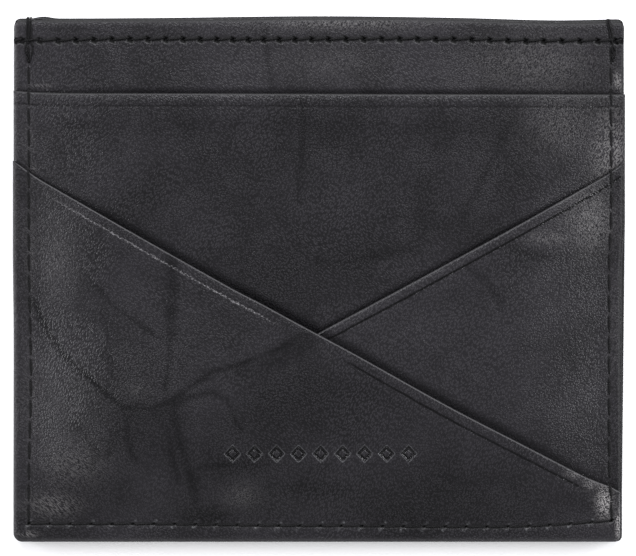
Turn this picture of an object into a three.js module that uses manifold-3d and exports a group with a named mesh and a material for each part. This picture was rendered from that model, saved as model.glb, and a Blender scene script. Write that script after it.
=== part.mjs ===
// Slim leather card holder, lying flat on its back: +X to the right, +Y towards
// the open end of the middle compartment, +Z out of the front. Millimetres.
//
// From back to front: back panel, middle compartment, front panel, a straight
// card pocket, then two card pockets cut on opposite slants. Every panel has a
// turned mouth: its skived edge folds to the inside, over the top of its lining.
// A panel that a card goes behind comes down to the layer below it along both
// sides and the bottom. That sewn margin is a solid of its own, so that the
// room for the card stays open between flat faces.
import * as THREE from 'three';
import { mergeVertices } from 'three/addons/utils/BufferGeometryUtils.js';
import Module from 'manifold-3d';

// ---- outline ----
const WIDTH = 96;
const HEIGHT = 82.5;
const CORNER_RADIUS = 1.4;
const LINING_INSET = 0.8;
const MARGIN_BEYOND_SEAM = 0.5;
const TOUCHING_GAP = 0.02;

// ---- leather, lining and thread thicknesses ----
const PANEL_LEATHER = 0.7;
const PANEL_TURN = 0.3;
const PANEL_SLIT = 0.12;
const POCKET_LEATHER = 0.4;
const POCKET_TURN = 0.2;
const POCKET_SLIT = 0.1;
const PANEL_LINING = 0.08;
const POCKET_LINING = 0.06;
const THREAD_RADIUS = 0.17;
const THREAD_CLEARANCE = 0.03;

// ---- room inside, for cards 0.76 mm thick ----
const MIDDLE_ROOM = 0.9;
const CARD_ROOM = 0.8;

// ---- mouths ----
const PANEL_TURN_DEPTH = 6;
const POCKET_TURN_DEPTH = 4.5;
const PANEL_LINING_TUCK = 2;
const POCKET_LINING_TUCK = 1.6;
const SLOT_MOUTH_DROP = 11.8;
const SLANT_HIGH_DROP = 22.7;
const SLANT_LOW_DROP = 74.4;

// ---- seams ----
const LEFT_SEAM_INSET = 2.4;
const RIGHT_SEAM_INSET = 1.7;
const BOTTOM_SEAM_INSET = 3.1;
const HEM_SEAM_DROP = 3.1;
const SIDE_STITCH = 3.3;
const HEM_STITCH = 2.87;
const STITCH_CROWN = 0.06;
const SEAM_END = 0.4;
const CROSSING_LIFT = 0.42;
const CROSSING_REACH = 1.8;
const CLIMB_START = 1.9;
const CLIMB_END = 0.45;
const CHANNEL_WIDTH = 0.6;
const CHANNEL_DEPTH = 0.46;

const RIGHT = WIDTH / 2;
const LEFT = -RIGHT;
const TOP = HEIGHT / 2;
const BOTTOM = -TOP;
const SLOT_MOUTH_Y = TOP - SLOT_MOUTH_DROP;
const SLANT_HIGH_Y = TOP - SLANT_HIGH_DROP;
const SLANT_LOW_Y = TOP - SLANT_LOW_DROP;
const SLANT_SLOPE = (SLANT_HIGH_Y - SLANT_LOW_Y) / WIDTH;
const LEFT_SEAM_X = LEFT + LEFT_SEAM_INSET;
const RIGHT_SEAM_X = RIGHT - RIGHT_SEAM_INSET;
const BOTTOM_SEAM_Y = BOTTOM + BOTTOM_SEAM_INSET;
const HEM_SEAM_Y = TOP - HEM_SEAM_DROP;

// ---- heights of the outer faces ----
const PANEL_HEM = PANEL_LEATHER + PANEL_SLIT + PANEL_TURN;
const POCKET_HEM = POCKET_LEATHER + POCKET_SLIT + POCKET_TURN;
const FRONT_Z = 2 * PANEL_HEM + MIDDLE_ROOM;
const SLOT_Z = FRONT_Z + CARD_ROOM + POCKET_HEM;
const RIGHT_POCKET_Z = SLOT_Z + CARD_ROOM + POCKET_HEM;
const LEFT_POCKET_Z = RIGHT_POCKET_Z + CARD_ROOM + POCKET_HEM;
const ABOVE_ALL = LEFT_POCKET_Z + 5;

const wasm = await Module();
wasm.setup();

// A three.js geometry as a closed solid for the boolean operations.
function toSolid(geometry) {
  const plain = geometry.clone();
  plain.deleteAttribute('normal');
  plain.deleteAttribute('uv');
  const merged = mergeVertices(plain, 1e-4);
  return new wasm.Manifold(new wasm.Mesh({
    numProp: 3,
    vertProperties: new Float32Array(merged.attributes.position.array),
    triVerts: new Uint32Array(merged.index.array),
  }));
}

function toGeometry(solid) {
  const mesh = solid.getMesh();
  const geometry = new THREE.BufferGeometry();
  geometry.setAttribute('position', new THREE.BufferAttribute(new Float32Array(mesh.vertProperties), 3));
  geometry.setIndex(new THREE.BufferAttribute(new Uint32Array(mesh.triVerts), 1));
  geometry.computeVertexNormals();
  return geometry;
}

function extrude(shape, depth, curveSegments = 5) {
  return new THREE.ExtrudeGeometry(shape, { depth, bevelEnabled: false, curveSegments });
}

function box(x0, x1, y0, y1, z0, z1) {
  const geometry = new THREE.BoxGeometry(x1 - x0, y1 - y0, z1 - z0);
  geometry.translate((x0 + x1) / 2, (y0 + y1) / 2, (z0 + z1) / 2);
  return geometry;
}

// Outline of a panel: rounded bottom corners, and a top edge that runs from
// leftTop to rightTop. The top corners are rounded only on the full panels.
function panelOutline(leftTop, rightTop, inset, roundTop) {
  const x0 = LEFT + inset;
  const x1 = RIGHT - inset;
  const y0 = BOTTOM + inset;
  const r = CORNER_RADIUS;
  const shape = new THREE.Shape();
  shape.moveTo(x0 + r, y0);
  shape.lineTo(x1 - r, y0);
  shape.absarc(x1 - r, y0 + r, r, -Math.PI / 2, 0, false);
  if (roundTop) {
    shape.absarc(x1 - r, rightTop - r, r, 0, Math.PI / 2, false);
    shape.absarc(x0 + r, leftTop - r, r, Math.PI / 2, Math.PI, false);
  } else {
    shape.lineTo(x1, rightTop);
    shape.lineTo(x0, leftTop);
  }
  shape.absarc(x0 + r, y0 + r, r, Math.PI, 1.5 * Math.PI, false);
  return shape;
}

// Section of a turned mouth. The fold is at the origin, the panel runs along
// +X of the section, its outer face is at 0 and its turned edge lies below it.
function mouthSection(leather, slit, turn, turnDepth, length) {
  const total = leather + slit + turn;
  const foldRadius = total / 2;
  const slitEnd = foldRadius + 0.15;
  const shape = new THREE.Shape();
  shape.moveTo(length, 0);
  shape.lineTo(foldRadius, 0);
  shape.absarc(foldRadius, -foldRadius, foldRadius, Math.PI / 2, 1.5 * Math.PI, false);
  shape.lineTo(turnDepth, -total);
  shape.lineTo(turnDepth, -total + turn);
  shape.lineTo(slitEnd, -total + turn);
  shape.lineTo(slitEnd, -leather);
  shape.lineTo(length, -leather);
  shape.closePath();
  return shape;
}

// A leather panel with its mouth along the line from leftTop (at the left
// edge) to rightTop (at the right edge), its outer face at outerZ. The turned
// edge lies below the outer face, or above it when facing is -1.
function turnedPanel({ leftTop, rightTop, outerZ, facing, leather, slit, turn, turnDepth, roundTop }) {
  const reach = 130;
  const section = extrude(mouthSection(leather, slit, turn, turnDepth, reach), 2 * reach, 4);
  const angle = Math.atan2(rightTop - leftTop, WIDTH);
  const mouth = new THREE.Matrix4().makeBasis(
    new THREE.Vector3(0, -1, 0),
    new THREE.Vector3(0, 0, 1),
    new THREE.Vector3(-1, 0, 0),
  );
  section.translate(0, 0, -reach);
  section.applyMatrix4(mouth);
  section.rotateZ(angle);
  section.translate(0, (leftTop + rightTop) / 2, 0);
  const prism = extrude(panelOutline(leftTop, rightTop, 0, roundTop), 20);
  prism.translate(0, 0, -10);
  const solid = toSolid(section).intersect(toSolid(prism));
  const geometry = toGeometry(facing > 0 ? solid : solid.mirror([0, 0, 1]));
  geometry.translate(0, 0, outerZ);
  return geometry;
}

// A lining sheet against the inner face of a panel, its top edge tucked into
// the slit under the turned edge.
function liningSheet({ leftTop, rightTop, tuck, z0, thickness }) {
  const slope = (rightTop - leftTop) / WIDTH;
  const drop = tuck * Math.hypot(1, slope);
  const shape = panelOutline(
    leftTop - drop + slope * LINING_INSET,
    rightTop - drop - slope * LINING_INSET,
    LINING_INSET,
    false,
  );
  const geometry = extrude(shape, thickness);
  geometry.translate(0, 0, z0);
  return geometry;
}

// Everything between two heights on one side of a mouth line that is lowered
// by drop: above it when up is true, below it when up is false.
function besideMouth({ leftTop, rightTop, drop, up, z0, z1 }) {
  const reach = 200;
  const slope = (rightTop - leftTop) / WIDTH;
  const middle = (leftTop + rightTop) / 2 - drop * Math.hypot(1, slope);
  const far = up ? reach : -reach;
  const shape = new THREE.Shape();
  shape.moveTo(-reach, middle - slope * reach);
  shape.lineTo(reach, middle + slope * reach);
  shape.lineTo(reach, middle + far * 2);
  shape.lineTo(-reach, middle + far * 2);
  shape.closePath();
  const geometry = extrude(shape, z1 - z0);
  geometry.translate(0, 0, z0);
  return geometry;
}

// The sewn margin of a panel: a strip down both sides and along the bottom,
// from floorZ up to the panel's lining, and to its turned edge near the mouth.
function sewnMargin({ leftTop, rightTop, turnDepth, floorZ, liningZ, turnZ, cuts }) {
  const slope = (rightTop - leftTop) / WIDTH;
  const drop = MARGIN_BEYOND_SEAM * Math.hypot(1, slope);
  const prism = extrude(panelOutline(leftTop - drop, rightTop - drop, 0, false), liningZ - floorZ);
  prism.translate(0, 0, floorZ);
  const room = box(
    LEFT_SEAM_X + MARGIN_BEYOND_SEAM,
    RIGHT_SEAM_X - MARGIN_BEYOND_SEAM,
    BOTTOM_SEAM_Y + MARGIN_BEYOND_SEAM,
    TOP + 1,
    floorZ - 1,
    liningZ + 1,
  );
  const underTurn = besideMouth({
    leftTop,
    rightTop,
    drop: turnDepth + TOUCHING_GAP,
    up: true,
    z0: turnZ,
    z1: liningZ + 1,
  });
  const away = [room, underTurn, ...cuts];
  return toGeometry(away.reduce((solid, cut) => solid.subtract(toSolid(cut)), toSolid(prism)));
}

// The margin of a pocket whose outer face is at outerZ, down to the face at
// belowZ. Its lining lies between the margin and the leather.
function pocketMargin(tops, outerZ, belowZ, cuts = []) {
  return sewnMargin({
    ...tops,
    turnDepth: POCKET_TURN_DEPTH,
    floorZ: belowZ + TOUCHING_GAP,
    liningZ: outerZ - POCKET_LEATHER - POCKET_SLIT,
    turnZ: outerZ - POCKET_HEM - TOUCHING_GAP,
    cuts,
  });
}

// A polyline used as a path, sampled at its own corner points.
class ThreadPath extends THREE.Curve {
  constructor(points) {
    super();
    this.points = points;
  }

  getPoint(t, target = new THREE.Vector3()) {
    const last = this.points.length - 1;
    const place = Math.min(Math.max(t, 0), 1) * last;
    const index = Math.min(Math.floor(place), last - 1);
    return target.copy(this.points[index]).lerp(this.points[index + 1], place - index);
  }

  getPointAt(u, target) {
    return this.getPoint(u, target);
  }

  getTangentAt(u, target) {
    return this.getTangent(u, target);
  }
}

// A sewing thread: one round tube that rises to a small crown in each stitch.
function threadTube(points) {
  const section = new THREE.Shape();
  section.absarc(0, 0, THREAD_RADIUS, 0, 2 * Math.PI, false);
  return new THREE.ExtrudeGeometry(section, {
    steps: points.length - 1,
    curveSegments: 3,
    bevelEnabled: false,
    extrudePath: new ThreadPath(points),
  });
}

// Points two to a stitch along a straight seam, at the ends and in between.
// The last point is left out, so that the next leg of a seam can start there.
function seamLeg(x0, y0, x1, y1, stitch) {
  const stitches = Math.round(Math.hypot(x1 - x0, y1 - y0) / stitch);
  const points = [];
  for (let i = 0; i < 2 * stitches; i += 1) {
    const share = i / (2 * stitches);
    points.push({ x: x0 + (x1 - x0) * share, y: y0 + (y1 - y0) * share, crown: i % 2 });
  }
  return points;
}

function ramp(value, from, to) {
  return Math.min(Math.max((value - from) / (to - from), 0), 1);
}

// Height of the front surface under a side seam. The thread leaves the lower
// surface a little before each pocket mouth and is up on the pocket at its edge.
function frontSurface(x, y) {
  const leftMouth = SLANT_HIGH_Y - SLANT_SLOPE * (x - LEFT);
  const rightMouth = SLANT_LOW_Y + SLANT_SLOPE * (x - LEFT);
  const levels = [
    { mouth: SLOT_MOUTH_Y, z: SLOT_Z },
    { mouth: rightMouth, z: RIGHT_POCKET_Z },
    { mouth: leftMouth, z: LEFT_POCKET_Z },
  ];
  let height = FRONT_Z;
  for (const { mouth, z } of levels) {
    const climb = ramp(y, mouth + CLIMB_START, mouth + CLIMB_END);
    height = Math.max(height, height + (z - height) * climb);
  }
  return height;
}

// The side and bottom seam as plan points: down the left side, along the
// bottom, and up the right side.
function bodySeamPoints() {
  const start = TOP - SEAM_END;
  const points = [
    ...seamLeg(LEFT_SEAM_X, start, LEFT_SEAM_X, BOTTOM_SEAM_Y, SIDE_STITCH),
    ...seamLeg(LEFT_SEAM_X, BOTTOM_SEAM_Y, RIGHT_SEAM_X, BOTTOM_SEAM_Y, SIDE_STITCH),
    ...seamLeg(RIGHT_SEAM_X, BOTTOM_SEAM_Y, RIGHT_SEAM_X, start, SIDE_STITCH),
  ];
  points.push({ x: RIGHT_SEAM_X, y: start, crown: 0 });
  return points;
}

// The body seam with extra points at each mouth it climbs and at the hem seam
// it crosses, so that its thread bends there and nowhere else.
function bodyNeedlePath() {
  const bends = [];
  for (const [x, up] of [[LEFT_SEAM_X, false], [RIGHT_SEAM_X, true]]) {
    const leftMouth = SLANT_HIGH_Y - SLANT_SLOPE * (x - LEFT);
    const rightMouth = SLANT_LOW_Y + SLANT_SLOPE * (x - LEFT);
    for (const mouth of [SLOT_MOUTH_Y, Math.max(leftMouth, rightMouth), up ? leftMouth : null]) {
      if (mouth !== null) {
        bends.push({ x, y: mouth + CLIMB_START }, { x, y: mouth + CLIMB_END });
      }
    }
  }
  const points = bodySeamPoints();
  for (const bend of bends) {
    let nearest = 0;
    points.forEach((point, i) => {
      const d = Math.hypot(point.x - bend.x, point.y - bend.y);
      const best = Math.hypot(points[nearest].x - bend.x, points[nearest].y - bend.y);
      if (d < best && point.x === bend.x) {
        nearest = i;
      }
    });
    points[nearest] = { x: bend.x, y: bend.y, crown: 0 };
  }
  return points.map(({ x, y, crown }) => {
    const crossing = 1 - ramp(Math.abs(y - HEM_SEAM_Y), 0.4, CROSSING_REACH);
    const lift = crossing * CROSSING_LIFT;
    const z = frontSurface(x, y) + THREAD_CLEARANCE + THREAD_RADIUS + lift + crown * STITCH_CROWN;
    return new THREE.Vector3(x, y, z);
  });
}

// On the back the threads lie in channels pressed into the leather, so that
// the holder rests on the leather and not on its seams.
function bodyBobbinPath() {
  return bodySeamPoints().map(({ x, y, crown }) => {
    const z = CHANNEL_DEPTH - THREAD_CLEARANCE - THREAD_RADIUS - crown * STITCH_CROWN;
    return new THREE.Vector3(x, y, z);
  });
}

function hemPath(x0, x1, z, side) {
  const points = seamLeg(x0, HEM_SEAM_Y, x1, HEM_SEAM_Y, HEM_STITCH);
  points.push({ x: x1, y: HEM_SEAM_Y, crown: 0 });
  return points.map(({ x, y, crown }) => {
    const away = THREAD_CLEARANCE + THREAD_RADIUS + crown * STITCH_CROWN;
    return new THREE.Vector3(x, y, z + side * away);
  });
}

// Inside the holder, and on the back, the hem threads end at the side seams.
const HEM_X0 = LEFT_SEAM_X + 0.8;
const HEM_X1 = RIGHT_SEAM_X - 0.8;

function backPanel() {
  const panel = toSolid(turnedPanel({
    leftTop: TOP,
    rightTop: TOP,
    outerZ: 0,
    facing: -1,
    leather: PANEL_LEATHER,
    slit: PANEL_SLIT,
    turn: PANEL_TURN,
    turnDepth: PANEL_TURN_DEPTH,
    roundTop: true,
  }));
  const half = CHANNEL_WIDTH / 2;
  const end = TOP - SEAM_END + half;
  const z0 = -1;
  const channels = [
    box(LEFT_SEAM_X - half, LEFT_SEAM_X + half, BOTTOM_SEAM_Y - half, end, z0, CHANNEL_DEPTH),
    box(RIGHT_SEAM_X - half, RIGHT_SEAM_X + half, BOTTOM_SEAM_Y - half, end, z0, CHANNEL_DEPTH),
    box(LEFT_SEAM_X, RIGHT_SEAM_X, BOTTOM_SEAM_Y - half, BOTTOM_SEAM_Y + half, z0, CHANNEL_DEPTH),
    box(HEM_X0 - half, HEM_X1 + half, HEM_SEAM_Y - half, HEM_SEAM_Y + half, z0, CHANNEL_DEPTH),
  ];
  return toGeometry(channels.reduce((solid, channel) => solid.subtract(toSolid(channel)), panel));
}

const pocketMouth = {
  facing: 1,
  leather: POCKET_LEATHER,
  slit: POCKET_SLIT,
  turn: POCKET_TURN,
  turnDepth: POCKET_TURN_DEPTH,
  roundTop: false,
};
const slotTops = { leftTop: SLOT_MOUTH_Y, rightTop: SLOT_MOUTH_Y };
const rightTops = { leftTop: SLANT_LOW_Y, rightTop: SLANT_HIGH_Y };
const leftTops = { leftTop: SLANT_HIGH_Y, rightTop: SLANT_LOW_Y };
const fullTops = { leftTop: TOP, rightTop: TOP };

// The lining of a pocket, against the inside of its leather.
function pocketLining(tops, outerZ) {
  return liningSheet({
    ...tops,
    tuck: POCKET_LINING_TUCK,
    z0: outerZ - POCKET_LEATHER - (POCKET_SLIT + POCKET_LINING) / 2,
    thickness: POCKET_LINING,
  });
}

function panelLining(z0) {
  return liningSheet({ ...fullTops, tuck: PANEL_LINING_TUCK, z0, thickness: PANEL_LINING });
}

const liningPlay = (PANEL_SLIT - PANEL_LINING) / 2;

// The margin between the back and front panels, round the middle compartment.
// The back panel's own turned edge takes room from it near the mouth too.
const middleMargin = sewnMargin({
  ...fullTops,
  turnDepth: PANEL_TURN_DEPTH,
  floorZ: PANEL_LEATHER + PANEL_SLIT,
  liningZ: FRONT_Z - PANEL_LEATHER - PANEL_SLIT,
  turnZ: FRONT_Z - PANEL_HEM - TOUCHING_GAP,
  cuts: [besideMouth({
    ...fullTops,
    drop: PANEL_TURN_DEPTH + TOUCHING_GAP,
    up: true,
    z0: -1,
    z1: PANEL_HEM + TOUCHING_GAP,
  })],
});

// The left pocket's margin reaches past the right pocket's mouth to the slot
// pocket, and rests on the right pocket below that mouth.
const overRightPocket = besideMouth({
  ...rightTops,
  drop: -0.1,
  up: false,
  z0: SLOT_Z,
  z1: RIGHT_POCKET_Z + TOUCHING_GAP,
});

const leather = { color: 0x2b2b2e, roughness: 0.55, metalness: 0 };
const fabric = { color: 0x1b1b1e, roughness: 0.9, metalness: 0 };
const thread = { color: 0x111113, roughness: 0.6, metalness: 0 };

const pieces = [
  ['back_panel', backPanel(), leather],
  ['back_lining', panelLining(PANEL_LEATHER + liningPlay), fabric],
  ['front_lining', panelLining(FRONT_Z - PANEL_LEATHER - PANEL_SLIT + liningPlay), fabric],
  ['front_panel', turnedPanel({
    ...fullTops,
    outerZ: FRONT_Z,
    facing: 1,
    leather: PANEL_LEATHER,
    slit: PANEL_SLIT,
    turn: PANEL_TURN,
    turnDepth: PANEL_TURN_DEPTH,
    roundTop: true,
  }), leather],
  ['front_panel_margin', middleMargin, leather],
  ['slot_pocket_lining', pocketLining(slotTops, SLOT_Z), fabric],
  ['slot_pocket_margin', pocketMargin(slotTops, SLOT_Z, FRONT_Z), leather],
  ['slot_pocket', turnedPanel({ ...slotTops, ...pocketMouth, outerZ: SLOT_Z }), leather],
  ['right_pocket_lining', pocketLining(rightTops, RIGHT_POCKET_Z), fabric],
  ['right_pocket_margin', pocketMargin(rightTops, RIGHT_POCKET_Z, SLOT_Z), leather],
  ['right_pocket', turnedPanel({ ...rightTops, ...pocketMouth, outerZ: RIGHT_POCKET_Z }), leather],
  ['left_pocket_lining', pocketLining(leftTops, LEFT_POCKET_Z), fabric],
  ['left_pocket_margin', pocketMargin(leftTops, LEFT_POCKET_Z, SLOT_Z, [overRightPocket]), leather],
  ['left_pocket', turnedPanel({ ...leftTops, ...pocketMouth, outerZ: LEFT_POCKET_Z }), leather],
  ['body_seam_needle_thread', threadTube(bodyNeedlePath()), thread],
  ['body_seam_bobbin_thread', threadTube(bodyBobbinPath()), thread],
  ['front_hem_needle_thread', threadTube(hemPath(LEFT + SEAM_END, RIGHT - SEAM_END, FRONT_Z, 1)), thread],
  ['front_hem_bobbin_thread', threadTube(hemPath(HEM_X0, HEM_X1, FRONT_Z - PANEL_HEM, -1)), thread],
  ['back_hem_needle_thread', threadTube(hemPath(HEM_X0, HEM_X1, CHANNEL_DEPTH, -1)), thread],
  ['back_hem_bobbin_thread', threadTube(hemPath(HEM_X0, HEM_X1, PANEL_HEM, 1)), thread],
];

const group = new THREE.Group();
group.name = 'card_holder';
for (const [name, geometry, look] of pieces) {
  const mesh = new THREE.Mesh(geometry, new THREE.MeshStandardMaterial(look));
  mesh.name = name;
  group.add(mesh);
}

export default group;
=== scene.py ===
"""A black leather card holder lying on its back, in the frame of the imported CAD.

Every leather panel is one closed skin: its outer face, the turned bead at its
mouth, the turned edge behind it and its inner face. Lengths in the making are
in millimetres, and meshes are stored in metres.
"""
import math

import bmesh
import bpy
import numpy as np
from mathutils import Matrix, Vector


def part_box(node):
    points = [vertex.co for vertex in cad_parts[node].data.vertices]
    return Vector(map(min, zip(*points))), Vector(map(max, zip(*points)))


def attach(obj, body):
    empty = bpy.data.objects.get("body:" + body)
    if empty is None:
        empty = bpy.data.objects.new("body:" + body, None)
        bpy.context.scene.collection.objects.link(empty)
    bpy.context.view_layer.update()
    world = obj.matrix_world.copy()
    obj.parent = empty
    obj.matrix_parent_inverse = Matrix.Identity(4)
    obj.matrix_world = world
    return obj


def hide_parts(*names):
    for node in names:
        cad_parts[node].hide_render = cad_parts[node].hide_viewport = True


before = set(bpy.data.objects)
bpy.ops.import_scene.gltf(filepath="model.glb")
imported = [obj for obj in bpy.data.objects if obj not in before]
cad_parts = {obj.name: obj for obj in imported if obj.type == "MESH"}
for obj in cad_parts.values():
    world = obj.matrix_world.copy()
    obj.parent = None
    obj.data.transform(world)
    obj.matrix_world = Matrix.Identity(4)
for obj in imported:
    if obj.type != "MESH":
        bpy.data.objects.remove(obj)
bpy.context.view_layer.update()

MM = 0.001
SEED = 11


# ------------ sizes
def node_box(name):
    low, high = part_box(name)
    return [v / MM for v in low], [v / MM for v in high]


(LEFT, BOTTOM, _), (RIGHT, TOP, _) = node_box("back_panel")
SLOT_MOUTH = node_box("slot_pocket")[1][1]
CORNER = 1.4

LEATHER = 0.78          # the two body panels
POCKET_LEATHER = 0.46
BODY_FOLD = 1.1         # a body panel where its edge is turned
POCKET_FOLD = 0.74
BODY_TURN = 6.0
POCKET_TURN = 4.5
BEAD = 0.42             # how far a turned bead reaches
SHARP_BEAD = 0.24       # the same on the left pocket, whose edge is worn sharp
ROLL_REACH = 1.35       # how far behind its mouth a panel's face bends down to the bead
LAYER = POCKET_LEATHER + 0.06   # a pocket and the play under it
LINING = 0.07
LINING_PLAY = 0.015
LINING_INSET = 0.8

MIDDLE_PUFF = 1.0       # how far each room stands open in the middle
POCKET_PUFF = 0.72

THREAD = 0.14           # radius
SEAM_THREAD = 0.12      # the same for the body seam's thread on the front
HEM_THREAD = 0.18       # and for the front hem's
THREAD_LIFT = 0.4 * THREAD      # how far a thread's middle lies over the leather
BACK_GROOVE = 0.37      # how deep the seams are pressed into the back
SIDE_STITCH = 3.3
HEM_STITCH = 2.83

GRID = 0.3              # spacing of the fine meshes


# ------------ plan lines
def zeros(x, y, count=1):
    """An array of zeros over the points, or a few of them."""
    shape = np.broadcast(x, y).shape
    return np.zeros(shape) if count == 1 else np.zeros((count, *shape))


def smooth(t):
    t = np.clip(t, 0, 1)
    return t * t * (3 - 2 * t)


def hump(distance, width):
    return np.exp(-((distance / width) ** 2))


def seam_left(y):
    return LEFT + 2.46 + 0.05 * np.sin(y / 9.0) + 0.45 * np.exp(-(((y + 15.0) / 12.0) ** 2))


def seam_right(y):
    bend = smooth((10.0 - y) / 7.0) * smooth((y + 36.0) / 6.0)
    return RIGHT - 2.2 - 0.34 * bend


def seam_bottom(x):
    right_end = np.clip((x - 30.0) / 16.0, 0, 1) ** 1.5
    return BOTTOM + 2.87 - 0.5 * smooth((x - LEFT) / 72.0) + 0.95 * right_end + 0.03 * np.sin(x / 5.0)


def seam_hem(x):
    left_end = 0.15 * hump(x - LEFT - 6.0, 7.0)
    return TOP - 3.65 - left_end - 0.26 * smooth((x - 22.0) / 14.0) + 0.04 * np.sin(x / 6.0)


def back_mouth(x):
    swell = 0.36 * hump(x, 22.0)
    dip = 0.3 * hump(x - 38.0, 10.0)
    by_left_tack = 0.3 * hump(x - LEFT - 3.8, 1.3)
    return TOP - 0.38 + swell - dip + by_left_tack


def hem_stitch(x):
    """The hem's stitch length, shorter a little left of the middle."""
    return HEM_STITCH - 0.42 * hump(x + 9.5, 10.0)


def front_mouth(x):
    return back_mouth(x) - 0.36 - 0.2 * hump(x - LEFT - 3.8, 1.3) + 0.05 * np.sin(x / 8.0)


def slot_mouth(x):
    return SLOT_MOUTH - 0.52 + 0.56 * np.exp(-(x - LEFT) / 5.0) - 0.07 * np.sin(x / 17.0)


LEFT_SLOPE = -0.5455
RIGHT_SLOPE = 0.5486


def left_mouth(x):
    share = np.clip((x + 44.9) / 88.4, 0, 1)
    end_left = 0.42 * np.clip((-44.9 - x) / 3.0, 0, 1)
    end_right = 0.62 * np.clip((x - 41.5) / 4.5, 0, 1) ** 1.5
    bow = 0.75 * np.sin(np.pi * share) - 0.13 * hump(x - 5.0, 7.0) + 0.16 * hump(x - 22.0, 8.0)
    bow += 0.2 * smooth((-8.0 - x) / 6.0) * smooth((x + 47.0) / 4.0)
    return 16.37 + LEFT_SLOPE * (x + 44.9) - bow + end_left + end_right


def right_mouth(x):
    share = np.clip((x - 1.8) / 44.2, 0, 1)
    end_right = 0.5 * np.clip((x - 45.2) / 2.7, 0, 1)
    return -7.5 + RIGHT_SLOPE * (x - 1.8) - 0.27 * np.sin(np.pi * share) + end_right


# ------------ heights
def rise(distance, reach, soft=0.4):
    """0 at a seam, steep a little way inside it, and level after reach."""
    distance = np.maximum(distance, 0)
    t = np.clip(distance * distance / (distance + soft) / reach, 0, 1)
    return 1 - (1 - t) ** 2.3


def puff(x, y):
    """How open the rooms are: shut at the side and bottom seams, open inside."""
    sides = rise(x - seam_left(y), 18.0, 2.5) * rise(seam_right(y) - x, 19.0, 1.8)
    return sides * rise(y - seam_bottom(x), 17.0, 2.0)


def waves(x, y, seed, size):
    """A slow, soft unevenness of leather, about -1 to 1."""
    r = np.random.default_rng(SEED + seed)
    total = zeros(x, y)
    for _ in range(9):
        angle, phase = r.random(2) * 2 * np.pi
        length = size * (0.6 + 1.1 * r.random())
        along = x * np.cos(angle) + y * np.sin(angle)
        total += np.sin(2 * np.pi * along / length + phase)
    return total / 4.2


def front_z(x, y):
    """Outer face of the front panel, which lies closer to the back at its mouth."""
    closing = 1 - 0.85 * smooth((y - TOP + 17.0) / 17.0)
    return 1.66 + puff(x, y) * closing * (MIDDLE_PUFF + 0.1 * waves(x, y, 1, 34))


def fold_rise(depth):
    """A panel stands a little higher where its turned edge lies behind it."""
    return 0.1 * (1 - smooth((depth - 3.5) / 3.0))


def pocket_z(x, y, mouth, layers, swell, seed, size):
    """Outer face of the pocket that is the top one of so many layers."""
    open_ = puff(x, y) * (layers * POCKET_PUFF + swell * waves(x, y, seed, size))
    return front_z(x, y) + layers * LAYER + fold_rise(mouth(x) - y) + open_


def slot_z(x, y):
    return pocket_z(x, y, slot_mouth, 1, 0.08, 2, 28)


def right_z(x, y):
    return pocket_z(x, y, right_mouth, 2, 0.1, 3, 24)


def left_z(x, y):
    """The left pocket lies over the right one, or beside it."""
    over = smooth(1 + (right_mouth(x) - y) / 25.0)
    return pocket_z(x, y, left_mouth, 2 + over, 0.1, 4, 26)


def mouth_dip(x, y, mouths):
    """A layer sinks a little just before it passes under the mouth of the next.
    Returns the depth, and how deep in the mouth's shade each point lies."""
    dip, shade = zeros(x, y, 2)
    for mouth, slope, size in mouths:
        above = (y - mouth(x)) / math.hypot(1, slope)
        reach = 0.2 + 0.8 * size * puff(x, y)
        near = smooth((0.5 + size - above) / (0.6 + size)) * smooth((above + 9.0) / 6.0)
        dip = np.maximum(dip, near * (0.08 + 0.12 * size * puff(x, y)))
        shade = np.maximum(shade, np.exp(-(np.maximum(above - 0.08, 0) / reach) ** 2.3))
    return dip, shade


def back_z(x, y):
    """Outer face of the back panel: flat where it lies, with its seams pressed in."""
    groove = zeros(x, y)
    for distance in seam_distances(x, y, hem=True):
        groove = np.maximum(groove, BACK_GROOVE * np.clip(1.6 - np.abs(distance) / 0.27, 0, 1))
    return groove


FAR = 9.0       # a distance at which a seam shapes nothing


def seam_distances(x, y, hem):
    """Distance to each seam line, for points beside the line."""
    above = y > seam_bottom(x) - 0.3
    between = (x > seam_left(y) - 0.3) & (x < seam_right(y) + 0.3)
    lines = [(above, x - seam_left(y)), (above, seam_right(y) - x), (between, y - seam_bottom(x))]
    out = [np.where(beside, distance, FAR) for beside, distance in lines]
    return out + [y - seam_hem(x)] if hem else out


# ------------ seams as stitches
def along_segment(x, y, a, b):
    """Distance to a straight stretch, and how far along it the nearest point is, 0 to 1."""
    dx, dy = b[0] - a[0], b[1] - a[1]
    t = np.clip(((x - a[0]) * dx + (y - a[1]) * dy) / (dx * dx + dy * dy), 0, 1)
    return np.hypot(x - a[0] - t * dx, y - a[1] - t * dy), t


def line_distance(x, y, points):
    best = np.full(x.shape, 99.0)
    for a, b in zip(points[:-1], points[1:]):
        best = np.minimum(best, along_segment(x, y, a, b)[0])
    return best


def holes_along(x, y, stitch):
    """Needle holes along a line; stitch is the stitch length at its points."""
    points = np.stack([x, y], axis=1)
    step = np.linalg.norm(np.diff(points, axis=0), axis=1)
    length = np.broadcast_to(stitch, (len(points),))
    stitches = np.concatenate([[0], np.cumsum(step / length[1:])])
    at = np.linspace(0, stitches[-1], int(round(stitches[-1])) + 1)
    return np.stack([np.interp(at, stitches, points[:, k]) for k in (0, 1)], axis=1)


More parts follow.
